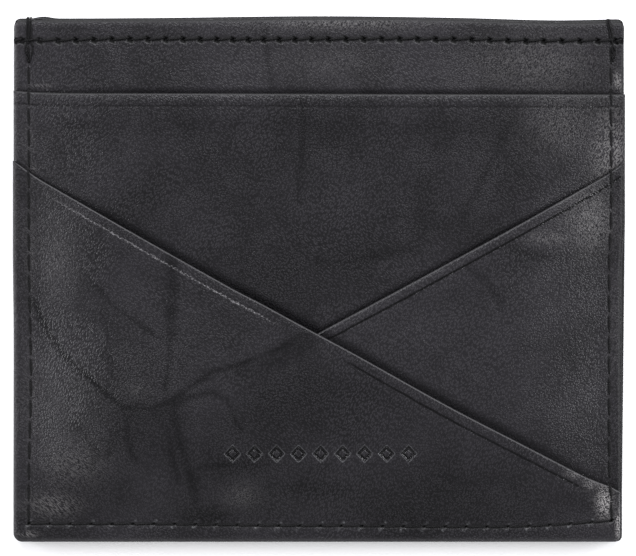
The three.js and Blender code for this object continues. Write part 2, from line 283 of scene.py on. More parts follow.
left_y = np.linspace(TOP - 1.2, seam_bottom(LEFT), 60)
right_y = np.linspace(TOP - 1.4, seam_bottom(RIGHT), 60)
bottom_x = np.linspace(seam_left(BOTTOM + 3.0), seam_right(BOTTOM + 3.0), 60)
hem_x = np.linspace(LEFT + 1.4, RIGHT - 1.4, 200)
HOLES = {
    "left": holes_along(seam_left(left_y), left_y, SIDE_STITCH),
    "right": holes_along(seam_right(right_y), right_y, SIDE_STITCH),
    "bottom": holes_along(bottom_x, seam_bottom(bottom_x), SIDE_STITCH),
    "hem": holes_along(hem_x, seam_hem(hem_x), hem_stitch(hem_x)),
}
INNER_HEM = HOLES["hem"]
# The front's hem has one more hole at each cut edge.
first, last = [[[x, seam_hem(x)]] for x in (LEFT + 0.3, RIGHT - 0.5)]
HOLES["hem"] = np.concatenate([first, INNER_HEM, last])

# Each needle hole is a slit: half length, half width, depth, tilt from +Y, and how dark the shade in it is
# painted.
SLITS = {"hem": (0.7, 0.56, 0.4, -0.5, 1.0), "bottom": (0.5, 0.26, 0.3, 1.0, 1.0),
         "left": (0.36, 0.13, 0.05, 0.15, 0.4), "right": (0.36, 0.13, 0.05, -0.15, 0.4)}
SLIT_DROP = {"hem": 0.15}       # how far a slit's middle lies below its hole
# The lips pushed up at its ends: strength, distance, half length, half width, tilt from +Y.
LIPS = {"hem": (0.08, 0.68, 0.14, 0.12, -0.4), "bottom": (1.0, 0.62, 0.26, 0.11, 0.6),
        "left": (0.3, 0.55, 0.14, 0.1, 0.5), "right": (0.3, 0.55, 0.14, 0.1, 0.5)}
# The groove that each stitch lies in: slant, half width, depth, how dark its shade is painted, and how much
# narrower it is at its ends.
GROOVES = {"hem": (0.17, 0.27, 0.04, 0.85, 0.0), "bottom": (0.07, 0.27, 0.05, 0.8, 0.2),
           "left": (0.06, 0.28, 0.06, 1.0, 0.6), "right": (0.06, 0.28, 0.06, 1.0, 0.6)}
ENDS = 0.16     # share of a stitch that lies down in its hole


def directions(a, b):
    """The directions along and across the line from a to b."""
    along = (b - a) / np.linalg.norm(b - a)
    return along, np.array([-along[1], along[0]])


def stitch_ends(a, b, slant):
    """The visible stretch of a stitch between two holes, leaning across the seam."""
    across = directions(a, b)[1]
    start = a + (b - a) * ENDS - across * slant
    end = b - (b - a) * ENDS + across * slant
    return start, end


def tilted(x, y, tilt):
    """Distances across and along a direction that is tilted from +Y."""
    return math.cos(tilt) * x - math.sin(tilt) * y, math.sin(tilt) * x + math.cos(tilt) * y


def seam_shape(x, y, name):
    """One seam's relief, the shade painted in its holes and grooves, and its pale lips."""
    relief, painted_shade, pale = zeros(x, y, 3)
    long, wide, deep, tilt, hole_shade = SLITS[name]
    strength, distance, lip_long, lip_wide, lip_tilt = LIPS[name]
    slant, groove, groove_deep, groove_shade, narrowing = GROOVES[name]
    r = np.random.default_rng(SEED + len(name))
    holes = HOLES[name]
    for number, (hx, hy) in enumerate(holes):
        chances = r.random(2)
        near = (np.abs(x - hx) < 3.6) & (np.abs(y - hy) < 3.6)
        if not near.any():
            continue
        px, py = x[near], y[near]
        if number + 1 < len(holes):
            start, end = stitch_ends(holes[number], holes[number + 1], slant)
            distance_to, share = along_segment(px, py, start, end)
            line = hump(distance_to, groove * (1 - narrowing * (2 * share - 1) ** 2))
            relief[near] = np.minimum(relief[near], -groove_deep * line)
            painted_shade[near] = np.maximum(painted_shade[near], groove_shade * line)
        px, py = px - hx, py - hy + SLIT_DROP.get(name, 0.0)
        u, v = tilted(px, py, tilt)
        inside = 1.3 - np.abs(u) / wide - np.abs(v) / long
        relief[near] = np.minimum(relief[near], -deep * smooth(inside / 0.8))
        painted_shade[near] = np.maximum(painted_shade[near], hole_shade * smooth((inside + 0.12) / 0.5))
        u, v = tilted(px, py, lip_tilt)
        for side, chance in zip((-1, 1), chances):
            lip = hump(u, lip_wide) * hump(v - side * distance, lip_long)
            relief[near] += 0.07 * lip
            pale[near] = np.maximum(pale[near], strength * (0.25 + 0.75 * chance) * lip)
    return relief, painted_shade, pale


def stitch_relief(x, y, hem):
    """How the seams shape the outer leather: a shallow valley along each, a groove under each stitch and a
    slit at each hole. Returns relief, the shade painted in the holes and grooves, and pale."""
    relief, painted_shade, pale = zeros(x, y, 3)
    for distance in seam_distances(x, y, hem):
        relief += 0.01 * hump(np.abs(distance) - 0.8, 0.4) - 0.02 * hump(distance, 0.5)
    for name in HOLES:
        if hem or name != "hem":
            seam = seam_shape(x, y, name)
            relief += seam[0]
            painted_shade = np.maximum(painted_shade, seam[1])
            pale = np.maximum(pale, seam[2])
    return relief, painted_shade, pale


# ------------ marks in the leather
def blots(x, y, places):
    """Soft oval marks, 0 to 1."""
    total = zeros(x, y)
    for strength, at_x, at_y, reach_x, reach_y in places:
        total = np.maximum(total, strength * hump(x - at_x, reach_x) * hump(y - at_y, reach_y))
    return total


# Natural veins and scars: (strength, half width, points in millimetres).
VEINS = {
    "left_pocket": [
        (0.68, 0.55, [(-1.1, -7.9), (-6.0, -10.9), (-11.3, -13.1), (-16.5, -14.5), (-19.8, -16.7),
            (-22.8, -19.1), (-26.3, -20.3), (-30.2, -20.2), (-32.2, -19.1)]),
        (0.35, 1.8, [(-1.6, -9.6), (-6.6, -12.6), (-11.9, -14.6)]),
        (0.78, 0.6, [(-44.6, -3.7), (-42.6, -8.2), (-40.0, -11.8), (-36.4, -15.1), (-33.8, -17.4),
            (-31.5, -19.4)]),
        (0.62, 1.3, [(-22.9, 2.6), (-23.0, -1.0), (-23.1, -3.4), (-23.0, -8.5)]),
        (0.5, 0.5, [(-23.0, -8.5), (-23.4, -13.2), (-24.0, -17.1)]),
        (0.5, 0.5, [(-34.8, -1.1), (-32.5, -4.0), (-28.9, -6.6), (-25.6, -8.9), (-23.5, -9.8)]),
        (0.25, 0.6, [(-33.8, -4.6), (-33.1, -8.5), (-32.7, -12.5), (-32.2, -16.4)]),
        (0.6, 0.55, [(-22.8, -20.0), (-19.8, -18.3), (-16.8, -17.8), (-14.5, -18.7), (-13.2, -21.7),
            (-12.2, -23.6)]),
        (0.58, 0.9, [(-22.7, -21.0), (-22.0, -24.2), (-21.1, -27.5), (-20.1, -30.8), (-19.1, -34.8)]),
        (0.45, 0.7, [(-23.7, -21.7), (-23.1, -26.3), (-22.1, -31.5)]),
        (0.4, 1.9, [(-24.8, -20.6), (-28.5, -21.4)]),
        (0.5, 0.6, [(-31.9, -23.9), (-32.2, -26.0), (-33.0, -27.5)]),
        (0.42, 0.7, [(-38.4, -22.3), (-36.4, -24.9), (-34.5, -27.5), (-35.5, -29.5)]),
        (0.5, 0.6, [(-29.9, -21.4), (-30.1, -23.6), (-29.5, -26.9), (-28.9, -28.2)]),
        (0.6, 0.5, [(-18.8, -29.5), (-15.9, -29.2), (-13.5, -28.9)]),
    ],
    "slot_pocket": [
        (0.5, 0.8, [(-2.5, 28.3), (-2.4, 23.3), (-2.8, 17.8), (-3.1, 12.3)]),
        (0.35, 0.8, [(30.3, 25.2), (27.8, 20.2), (24.9, 14.2), (22.4, 8.9)]),
        (0.45, 0.9, [(-0.2, 2.6), (3.3, 2.6), (8.8, 3.5), (14.3, 4.5)]),
    ],
    "right_pocket": [
        (0.45, 0.7, [(23.4, 1.6), (25.9, -0.2), (27.5, -2.1), (28.4, -4.3)]),
        (0.4, 0.9, [(29.3, 5.1), (33.1, 3.7), (37.8, 3.2), (44.7, 3.8)]),
    ],
    "front_panel": [(0.4, 0.5, [(-8.5, 39.3), (-8.0, 34.3), (-7.4, 29.9)])],
    "back_panel": [],
}

EVERYWHERE = 400.0

# Darker places: marks in the hide, and painted shade where the face catches less light: (strength, x, y,
# reach in x, reach in y).
HIDE_MARKS_AND_SHADE = {
    "left_pocket": [
        (0.1, 0, 0, EVERYWHERE, EVERYWHERE), (0.42, 2.5, -19.0, 12.0, 8.0), (0.5, 0.2, -33.2, 8.0, 2.2),
        (0.45, -12.4, -28.8, 4.5, 2.2), (0.6, -17.4, -37.3, 4.0, 1.8), (0.4, 16.0, -36.0, 24.0, 9.0),
        (0.55, 14.0, -36.5, 2.5, 3.5), (0.3, -6.9, -19.0, 9.0, 8.0),
    ],
    "slot_pocket": [
        (0.27, -4, 0, 44.0, EVERYWHERE), (0.38, 2.0, 7.0, 15.0, 8.0), (0.32, 9.6, 22.5, 4.5, 4.5),
        (0.4, 11.1, 10.0, 5.0, 2.0),
    ],
    "right_pocket": [
        (0.08, 0, 0, EVERYWHERE, EVERYWHERE), (0.2, 14.0, -12.0, 7.0, 4.0), (0.25, 31.0, 3.0, 6.0, 3.0),
    ],
    "front_panel": [(0.2, -30.0, 34.0, 10.0, 8.0)],
    "back_panel": [(0.4, 10, 8, 20, 9), (0.4, -22, -14, 12, 10)],
}

# Pale places where the grain stands out, partly rubbed pale and partly a painted sheen where the face
# catches the light: (strength, x, y, reach in x, reach in y).
RUBBED_AND_SHEEN = {
    "left_pocket": [
        (1.0, 44.7, -35.0, 1.7, 3.4), (1.0, 46.9, -38.6, 0.7, 3.6), (0.33, -41.0, 2.6, 4.4, 8.0),
        (0.52, -41.5, -35.4, 6.0, 2.6), (0.42, -38.5, -29.0, 7.0, 5.0), (0.6, -45.6, -40.0, 2.2, 0.7),
        (0.62, 39.8, -30.6, 1.8, 0.9), (0.66, 42.4, -32.2, 1.6, 1.2), (0.3, -28.2, -17.4, 2.6, 1.8),
        (0.4, -11.9, -34.0, 4.0, 2.6), (0.3, -45.0, -18.0, 3.0, 14.0), (0.3, -45.2, 4.0, 2.6, 10.0),
    ],
    "slot_pocket": [
        (0.64, 46.0, 20.0, 4.5, 9.0), (0.28, -45.8, 22.0, 2.0, 8.0), (0.5, -45.0, 17.2, 1.2, 0.9),
        (0.42, 38.0, 24.0, 8.0, 6.0),
    ],
    "right_pocket": [
        (0.54, 42.4, 9.0, 5.4, 6.6), (0.3, 46.4, -8.0, 1.6, 15.0), (0.5, 36.0, 6.4, 5.0, 1.6),
    ],
    "front_panel": [
        (0.5, -43.8, 30.2, 2.4, 0.5), (0.75, 47.0, 31.0, 1.2, 2.0), (0.5, 4.0, 39.9, 20.0, 1.4),
        (0.4, 34.0, 34.0, 14.0, 7.0), (0.3, 2.0, 34.0, 12.0, 4.0),
    ],
    "back_panel": [(0.4, 0, 0, 30, 24)],
}

# Each panel's edge: how far its face bends down to the bead, how pale the line along the bead is (wear, and
# a painted highlight), how dark the outer side of the turned edge is painted as shade, and how far that
# reaches behind it.
EDGES = {"left_pocket": (0.06, 0.75, 0.5, 0.12), "right_pocket": (0.17, 0.2, 0.6, 0.14),
         "slot_pocket": (0.2, 0.2, 0.9, 0.2), "front_panel": (0.2, 0.0, 1.0, 0.36),
         "back_panel": (0.2, 0.0, 1.0, 0.4)}


def crease_depth(name, x):
    """How far behind the mouth the end of the turned edge shows as a crease."""
    if name == "left_pocket":
        return 1.6 + 0.15 * smooth((x + 5.0) / 18.0)
    return 1.62 if name == "right_pocket" else 2.0


def crease_look(name, x):
    """How dark (painted shade) and how pale (wear) that crease is along the mouth."""
    zero = np.zeros(np.shape(x))
    if name == "left_pocket":
        painted_shade = smooth((x - 2.0) / 5.0) * smooth((43.0 - x) / 4.0)
        return 0.9 * painted_shade, smooth((-5.5 - x) / 4.0) * smooth((x + 44.0) / 6.0)
    if name == "right_pocket":
        return zero + 1.0, zero + 0.04
    if name == "slot_pocket":
        return zero + 0.45, zero + 0.1
    return zero, zero


# A row of small blind-stamped lozenges: its height, its two ends and their number.
ORNAMENT_Y = -27.35
ORNAMENT_X = (-13.5, 14.0)
ORNAMENT_COUNT = 9
LOZENGE_WIDE = 1.25     # half width
LOZENGE_TALL = 1.35     # half height
STAMP_DEPTH = 0.24
OUTSIDE = 2.0           # what ornament() gives outside the lozenges


def ornament(x, y):
    """0 in the middle of each stamped lozenge, 1 on its outline and 2 far outside."""
    pitch = (ORNAMENT_X[1] - ORNAMENT_X[0]) / (ORNAMENT_COUNT - 1)
    inside = (x > ORNAMENT_X[0] - pitch / 2) & (x < ORNAMENT_X[1] + pitch / 2)
    u = np.abs((x - ORNAMENT_X[0] + pitch / 2) % pitch - pitch / 2) / LOZENGE_WIDE
    v = np.abs(y - ORNAMENT_Y) / LOZENGE_TALL
    return np.where(inside, np.minimum(u + v, OUTSIDE), OUTSIDE)


# ------------ meshes
def put(name, data):
    """A new object in the scene."""
    thing = bpy.data.objects.new(name, data)
    bpy.context.scene.collection.objects.link(thing)
    return thing


def vertices_of(*grids):
    """Vertices from the grids of their x, y and z."""
    return np.stack(grids, axis=-1).reshape(-1, 3)


def faces_of(*corners):
    """Faces with four corners, from a grid of vertex numbers for each corner."""
    return np.stack(corners, axis=-1).reshape(-1, 4).tolist()


def new_piece(name, vertices, faces, attributes=None, uvs=None):
    mesh = bpy.data.meshes.new(name)
    mesh.from_pydata((np.asarray(vertices) * MM).tolist(), [], faces)
    for key, values in (attributes or {}).items():
        layer = mesh.attributes.new(key, "FLOAT", "POINT")
        layer.data.foreach_set("value", np.asarray(values, np.float32))
    if uvs is not None:
        layer = mesh.uv_layers.new(name="UVMap")
        flat = np.asarray(uvs, np.float32)[[i for face in faces for i in face]]
        layer.data.foreach_set("uv", flat.ravel())
    mesh.polygons.foreach_set("use_smooth", [True] * len(mesh.polygons))
    mesh.validate()
    return put(name, mesh)


def fix_normals(piece, sharp_degrees):
    bm = bmesh.new()
    bm.from_mesh(piece.data)
    bmesh.ops.recalc_face_normals(bm, faces=bm.faces)
    bm.to_mesh(piece.data)
    bm.free()
    piece.data.set_sharp_from_angle(angle=math.radians(sharp_degrees))


def columns(fine_from, left, right, grid):
    """Lines across a panel: close at the cut edges and the side seams, and at the
    grid's spacing where x is over fine_from."""
    edge = [0, 0.04, 0.1, 0.18, 0.3]
    xs = [left + e for e in edge] + [right - e for e in edge]
    x = left + 0.3
    while x < right - 0.55:
        near_seam = min(abs(x - seam_left(0)), abs(x - seam_right(0))) < 1.6
        x += min(grid, 0.2) if near_seam else (grid if x > fine_from else 0.8)
        if x < right - 0.42:
            xs.append(x)
    return np.array(sorted(xs))


def corner_arc(distance, radius):
    e = np.clip(radius - distance, 0, radius)
    return radius - np.sqrt(np.maximum(radius * radius - e * e, 0))


def side_pinch(side, y, body, mouth, trim):
    """How far a cut edge comes in from the side: at its rounded corners, and where
    the whole stack was trimmed a little narrower."""
    pinch = corner_arc(y - BOTTOM, CORNER if side < 0 else 0.65 * CORNER)
    if body:
        pinch = np.maximum(pinch, corner_arc(mouth - y, 0.8 * CORNER))
    if side < 0:
        return pinch + 0.13 * smooth((4.0 - y) / 10.0)
    if body:    # a little narrower than the straight pocket at its mouth
        pinch = pinch + 0.25 * smooth((TOP - 2.0 - y) / 7.0) * smooth((y - SLOT_MOUTH + 2.0) / 2.0)
    return pinch + trim * smooth((9.0 - y) / 8.0)


def cut_edge(x, y, left, right):
    """The cut edge is rounded over: how much lower the face is there."""
    inner = np.minimum(np.minimum((x - left) / 0.72, (right - x) / 0.42), (y - BOTTOM) / 0.6)
    e = np.clip(1 - inner, 0, 1)
    rolled_right = 0.02 * np.clip(1 - (right - x) / 1.5, 0, 1) ** 2
    rolled_left = 0.06 * np.clip(1 - (x - left) / 2.3, 0, 1) ** 2
    return 0.2 * (1 - np.sqrt(np.maximum(1 - e * e, 0))) + (rolled_right + rolled_left)


def skin_rows(xs, mouth_y, lean, bead_reach, turn, body, middle_rows):
    """The rows of a panel's skin, from its bead down the outer face, up the inner
    one, under the turned edge and round the bead: each is (y, kind, height in the bead)."""
    bead_angles = np.radians([90, 68, 46, 24, 2, -20, -42, -64, -90])
    near = [0.3, 0.38, 0.5, 0.6, 0.72, 0.85, 1.0, 1.15, 1.28, 1.38, 1.46, 1.52, 1.58, 1.64, 1.7, 1.76,
            1.84, 1.94, 2.08]
    near += list(np.arange(2.2, 4.3, 0.12)) if body else [2.3, 2.6, 2.95, 3.3]
    near = [d for d in near if d > bead_reach + 0.04]
    deep = [4.3] + list(np.arange(4.05, 1.9, -0.13)) + [1.75, 1.5, 1.2, 0.9, 0.6, 0.3, 0.18, 0.1, 0.04, 0.0]
    if body:    # most of this panel is hidden: fine rows down to the next mouth only
        shares = np.concatenate([np.linspace(0, 0.12, 36), np.linspace(0.12, 1, 26)[1:]])
    else:
        shares = np.linspace(0, 1, middle_rows)

    rows = [(mouth_y - (bead_reach * (1 - np.cos(bead_angles[0]))) * lean, "top", 0)]
    rows += [(mouth_y - d * lean, "top", 0) for d in near]
    y_near, y_deep = mouth_y - near[-1] * lean, BOTTOM + deep[0]
    rows += [(y_near + (y_deep - y_near) * share, "top", 0) for share in shares[1:-1]]
    rows += [(np.full(xs.shape, BOTTOM + d), "top", 0) for d in deep]
    y_turn = mouth_y - turn * lean
    rows += [(BOTTOM + (y_turn - BOTTOM) * share, "inner", 0) for share in np.linspace(0, 1, 26)]
    y_bead = mouth_y - bead_reach * lean
    rows += [(y_turn + (y_bead - y_turn) * share, "under", 0) for share in np.linspace(0, 1, 8)]
    for angle in bead_angles[::-1][1:-1]:
        rows.append((mouth_y - bead_reach * (1 - np.cos(angle)) * lean, "bead", math.sin(angle)))
    return rows


def vein_depth(name, x, y):
    """How deep in one of a panel's veins each point lies, 0 to 1."""
    depth = zeros(x, y)
    for strength, reach, points in VEINS[name]:
        wobble = 0.8 + 0.3 * waves(x, y, 40 + len(points), 5)
        here = strength * hump(line_distance(x, y, points), reach) * np.clip(wobble, 0.35, 1)
        depth = np.maximum(depth, here)
    return depth


def outer_face(name, x, y, depth, edges, body, facing, next_mouths):
    """The relief of a panel's outer face and its marks, which the material draws.
    depth is the distance behind the mouth, and edges are the two cut edges. Each mark
    comes with its value where the skin is hidden, or None if it is the same there."""
    bend, bead_highlight_and_wear, edge_shade, edge_reach = EDGES[name]
    relief, pit_shades, lips = stitch_relief(x, y, hem=body)
    behind = depth - crease_depth(name, x)
    painted_crease_shade, pale_crease = crease_look(name, x)
    roll = bend * np.clip(1 - depth / ROLL_REACH, 0, 1) ** 2
    dip, shade = mouth_dip(x, y, next_mouths)
    relief = relief - 0.045 * (painted_crease_shade + pale_crease) * hump(behind, 0.16) - roll - dip
    if facing < 0:      # the back lies on the floor
        relief = np.minimum(relief, 0)
    stamp = ornament(x, y) if name == "left_pocket" else np.full(x.shape, OUTSIDE)
    pressed = smooth((1.0 - stamp) / 0.22) - 0.75 * smooth((0.6 - stamp) / 0.22)
    vein = vein_depth(name, x, y)
    relief = relief - STAMP_DEPTH * pressed - 0.03 * vein

    low_edge, high_edge = edges
    worn_sides = 0.4 * hump(np.minimum(x - low_edge, y - BOTTOM) - 0.12, 0.36)
    # The outer side of the turned edge is painted dark as shade, and the panels darken along their right
    # cut edge.
    edge = edge_shade * hump(depth, edge_reach)
    if name != "left_pocket":
        edge = np.maximum(edge, 0.8 * hump(high_edge - x, 0.25))
    return relief, {
        "vein": (vein, 0.0),
        # The darker places are hide marks and painted shade.
        "marks_and_shade": (blots(x, y, HIDE_MARKS_AND_SHADE[name]), None),
        # The pale places are rubbed wear and painted sheen.
        "rubbed_and_sheen": (blots(x, y, RUBBED_AND_SHEEN[name]), None),
        # The pale line along the bead is wear and a painted highlight; along the cut edges it is wear.
        "wear_and_highlight": (np.maximum(bead_highlight_and_wear * hump(depth - 0.09, 0.09), worn_sides), 0.0),
        "behind": (np.clip(behind, -2, 2), None),
        "crease_shade": (painted_crease_shade, 0.0),
        "edge": (edge, 0.0),
        "scuff": (pale_crease, 0.0),
        "shade": (shade, 1.0),
        "pit_shade": (pit_shades, 0.0),
        "lip": (lips, 0.0),
        "stamp": (stamp, OUTSIDE),
    }


def is_body(name):
    """Whether a panel is one of the two thick outer ones."""
    return name.endswith("_panel")


def turned_panel(name, mouth, slope, face_z, width, facing=1, middle_rows=150,
                 fine_from=LEFT, grid=GRID, next_mouths=()):
    """One leather panel as a closed skin: width is its (left, right) cut edges, and
    facing is -1 for the back panel."""
    body = is_body(name)
    leather, fold, turn = LEATHER, BODY_FOLD, BODY_TURN
    if not body:
        leather, fold, turn = POCKET_LEATHER, POCKET_FOLD, POCKET_TURN
    left, right = width
    xs = columns(fine_from, left, right, grid)
    lean = math.hypot(1, slope)
    bead_reach = SHARP_BEAD if name == "left_pocket" else BEAD
    mouth_y = mouth(xs)
    rows = skin_rows(xs, mouth_y, lean, bead_reach, turn, body, middle_rows)
    y = np.stack([row[0] for row in rows])
    kinds = np.array([row[1] for row in rows])[:, None]
    bead_height = np.array([row[2] for row in rows])[:, None]

    middle = (left + right) / 2
    half = (right - left) / 2
    trim = 0.38 if slope else 0.47
    low_edge = left + side_pinch(-1, y, body, mouth_y, trim)
    high_edge = right - side_pinch(1, y, body, mouth_y, trim)
    share = (xs - middle) / half
    x = middle + np.where(share < 0, share * (middle - low_edge), share * (high_edge - middle))

    depth = (mouth_y - y) / lean
    relief, marks = outer_face(name, x, y, depth, (low_edge, high_edge), body, facing, next_mouths)
    rounding = cut_edge(x, y, low_edge, high_edge)
    rolled = EDGES[name][0] * (1 - bead_reach / ROLL_REACH) ** 2
    at_bead = face_z(x, np.broadcast_to(mouth_y - bead_reach * lean, x.shape))
    z = face_z(x, y)
    z = np.select([kinds == "top", kinds == "inner", kinds == "under", kinds == "bead"], [
        z + facing * (relief - rounding),
        z - facing * (leather - 0.5 * rounding),
        z - facing * fold,
        at_bead - facing * (fold + (rolled - fold) * (1 + bead_height) / 2),
    ])

    index = np.arange(x.size).reshape(x.shape)
    down = np.roll(index, -1, axis=0)
    faces = faces_of(index[:, :-1], down[:, :-1], down[:, 1:], index[:, 1:])
    faces += [index[::-1, 0].tolist(), index[:, -1].tolist()]
    seen = (kinds == "top") | (kinds == "bead")
    attributes = {}
    for key, (values, hidden) in marks.items():
        attributes[key] = (values if hidden is None else np.where(seen, values, hidden)).ravel()
    piece = new_piece(name + "_skin", vertices_of(x, y, z), faces, attributes)
    fix_normals(piece, 50)
    return piece


def lining(name, mouth, face_z, leather, tuck, facing=1):
    """A woven lining against the inner face of a panel: a thin closed sheet."""
    xs = np.linspace(LEFT + LINING_INSET, RIGHT - LINING_INSET, 90)
    m = mouth(xs) - tuck
    y = m + (BOTTOM + LINING_INSET - m) * np.linspace(0, 1, 60)[:, None]
    x = np.broadcast_to(xs, y.shape)
    near = face_z(x, y) - facing * (leather + LINING_PLAY)
    far = near - facing * LINING
    vertices = np.concatenate([vertices_of(x, y, near), vertices_of(x, y, far)])
    index = np.arange(y.size).reshape(y.shape)
    corners = [index[:-1, :-1], index[1:, :-1], index[1:, 1:], index[:-1, 1:]]
    faces = faces_of(*corners) + faces_of(*[corner + y.size for corner in corners[::-1]])
    rim = np.concatenate([index[0], index[1:, -1], index[-1, -2::-1], index[-2:0:-1, 0]])
    after = np.roll(rim, -1)
    faces += faces_of(rim, after, after + y.size, rim + y.size)
    piece = new_piece(name + "_cloth", vertices, faces)
    fix_normals(piece, 60)
    return piece


# ------------ threads
def tube(points, radius, first, sides=8):
    """Vertices, faces and (length, round) coordinates of a closed tube, whose vertices
    are numbered from first."""
    points = np.asarray(points, float)
    tangent = np.gradient(points, axis=0)
    tangent /= np.linalg.norm(tangent, axis=1)[:, None]
    up = np.array([0.0, 0.0, 1.0])
    side = np.cross(tangent, up)
    for i in range(1, len(side)):
        if np.linalg.norm(side[i]) < 1e-3:
            side[i] = side[i - 1]
    side /= np.maximum(np.linalg.norm(side, axis=1), 1e-6)[:, None]
    normal = np.cross(side, tangent)
    angles = np.linspace(0, 2 * np.pi, sides, endpoint=False)
    ring = (np.cos(angles)[None, :, None] * side[:, None, :]
            + np.sin(angles)[None, :, None] * normal[:, None, :]) * radius
    vertices = (points[:, None, :] + ring).reshape(-1, 3)
    length = np.concatenate([[0], np.cumsum(np.linalg.norm(np.diff(points, axis=0), axis=1))])
    uvs = np.stack([np.repeat(length, sides), np.tile(angles / (2 * np.pi), len(points))], axis=1)
    index = first + np.arange(len(vertices)).reshape(-1, sides)
    after = np.roll(index, -1, axis=1)
    faces = faces_of(index[:-1], after[:-1], after[1:], index[1:])
    return vertices, faces + [index[0, ::-1].tolist(), index[-1].tolist()], uvs


def thread_piece(name, paths, radius):
    vertices, faces, uvs = np.empty((0, 3)), [], np.empty((0, 2))
    for path in paths:
        more_vertices, more_faces, more_uvs = tube(path, radius, len(vertices))
        vertices = np.concatenate([vertices, more_vertices])
        faces += more_faces
        uvs = np.concatenate([uvs, more_uvs])
    piece = new_piece(name, vertices, faces, uvs=uvs)
    fix_normals(piece, 70)
    return piece


def top_face(x, y):
    """The outermost face at the front, whichever layer is there."""
    x, y = np.asarray(x, float), np.asarray(y, float)
    z = front_z(x, y)
    for mouth, face_z in ((slot_mouth, slot_z), (right_mouth, right_z), (left_mouth, left_z)):
        z = np.where(y < mouth(x) - 0.1, face_z(x, y), z)
    return z


HOLE = 0.055    # share of a stitch that is hidden in each of its holes


def stitched_path(holes, surface, facing=1, slant=0.2, crown=0.1, sink=0.34, press=0.0, dive=0.07):
    """A thread that comes out of one hole and goes into the next, stitch by stitch.
    It leans by slant, rises by crown, is pressed down by press, and goes down by sink
    over the share dive of a stitch at each end."""
    r = np.random.default_rng(SEED + len(holes))
    path = []
    for a, b in zip(holes[:-1], holes[1:]):
        along, across = directions(a, b)
        lean = slant * (0.8 + 0.4 * r.random())
        for share in (HOLE, 0.075, 0.11, 0.17, 0.28, 0.4, 0.5, 0.6, 0.72, 0.83, 0.89, 0.925, 1 - HOLE):
            at = a + (b - a) * share + across * (lean * (2 * share - 1))
            rounds = [surface(*(at + along * s)) for s in (-0.35, 0, 0.35)]
            base = max(rounds) if facing > 0 else min(rounds)
            down = max(0.0, 1 - (min(share, 1 - share) - HOLE) / dive)
            lift = crown * math.sin(math.pi * share) - sink * down ** 1.5
            path.append((*at, float(base) + facing * (lift + THREAD_LIFT - press)))
    return path


# ------------ materials
class Recipe:
    """A material or a world, with short ways to add shader nodes to it."""

    def __init__(self, owner, shader="Principled BSDF"):
        owner.use_nodes = True
        self.owner = owner
        self.nodes = owner.node_tree.nodes
        self.links = owner.node_tree.links
        self.shader = self.nodes[shader]

    def feed(self, socket, value):
        """Sets a socket to a number, a vector or a colour, or links an output to it."""
        if isinstance(value, tuple):
            socket.default_value = value if socket.type == "VECTOR" else (*value, 1)
        elif isinstance(value, (int, float)):
            socket.default_value = value
        else:
            self.links.new(value, socket)

    def surface(self, name, value):
        self.feed(self.shader.inputs[name], value)

    def add(self, kind, output, inputs, **settings):
        """Adds a node, with its settings and (socket, value) inputs; gives an output."""
        node = self.nodes.new(kind)
        for key, value in settings.items():
            setattr(node, key, value)
        for socket, value in inputs:
            self.feed(node.inputs[socket], value)
        return node.outputs[output]

    def attribute(self, name):
        return self.add("ShaderNodeAttribute", "Fac", (), attribute_name=name)

    def math(self, operation, *values, clamp=False):
        return self.add("ShaderNodeMath", 0, enumerate(values), operation=operation, use_clamp=clamp)

    def times(self, a, b, clamp=False):
        return self.math("MULTIPLY", a, b, clamp=clamp)

    def larger(self, a, b):
        return self.math("MAXIMUM", a, b)

    def mix(self, factor, a, b):
        return self.add("ShaderNodeMix", 0, ((0, factor), (2, a), (3, b)))

    def mix_colour(self, factor, a, b):
        return self.add("ShaderNodeMix", 2, ((0, factor), (6, a), (7, b)), data_type="RGBA")

    def step(self, value, low, high, to_low=0.0, to_high=1.0):
        """A smooth step from to_low to to_high as value goes from low to high."""
        inputs = (("Value", value), ("From Min", low), ("From Max", high),
                  ("To Min", to_low), ("To Max", to_high))
        return self.add("ShaderNodeMapRange", "Result", inputs, interpolation_type="SMOOTHSTEP")

    def noise(self, vector, scale, detail=2.0, roughness=0.5, output="Fac"):
        inputs = (("Vector", vector), ("Scale", scale), ("Detail", detail), ("Roughness", roughness))
        return self.add("ShaderNodeTexNoise", output, inputs)

    def pebbles(self, vector, scale):
        """Distance from the middle of a pebble, 0 to about 0.7."""
        inputs = (("Vector", vector), ("Scale", scale))
        return self.add("ShaderNodeTexVoronoi", "Distance", inputs, voronoi_dimensions="2D")

    def parts(self, vector):
        """The x, y and z of a vector."""
        node = self.nodes.new("ShaderNodeSeparateXYZ")
        self.feed(node.inputs[0], vector)
        return node.outputs

    def mapping(self, vector, key, value):
        return self.add("ShaderNodeMapping", "Vector", (("Vector", vector), (key, value)))

    def drawn_out(self, vector, degrees, stretch):
        """Coordinates in which a pattern is stretched along a direction."""
        turned = self.mapping(vector, "Rotation", (0, 0, math.radians(-degrees)))
        return self.mapping(turned, "Scale", (1 / stretch, 1, 1))

    def millimetres(self):
        """The shared frame's coordinates, in millimetres."""
        place = self.add("ShaderNodeTexCoord", "Object", ())
        return self.mapping(place, "Scale", (1 / MM, 1 / MM, 1 / MM))

    def bump(self, height, distance_mm, strength=1.0, before=None):
        inputs = [("Height", height), ("Strength", strength), ("Distance", distance_mm * MM)]
        if before is not None:
            inputs.append(("Normal", before))
        return self.add("ShaderNodeBump", "Normal", inputs)


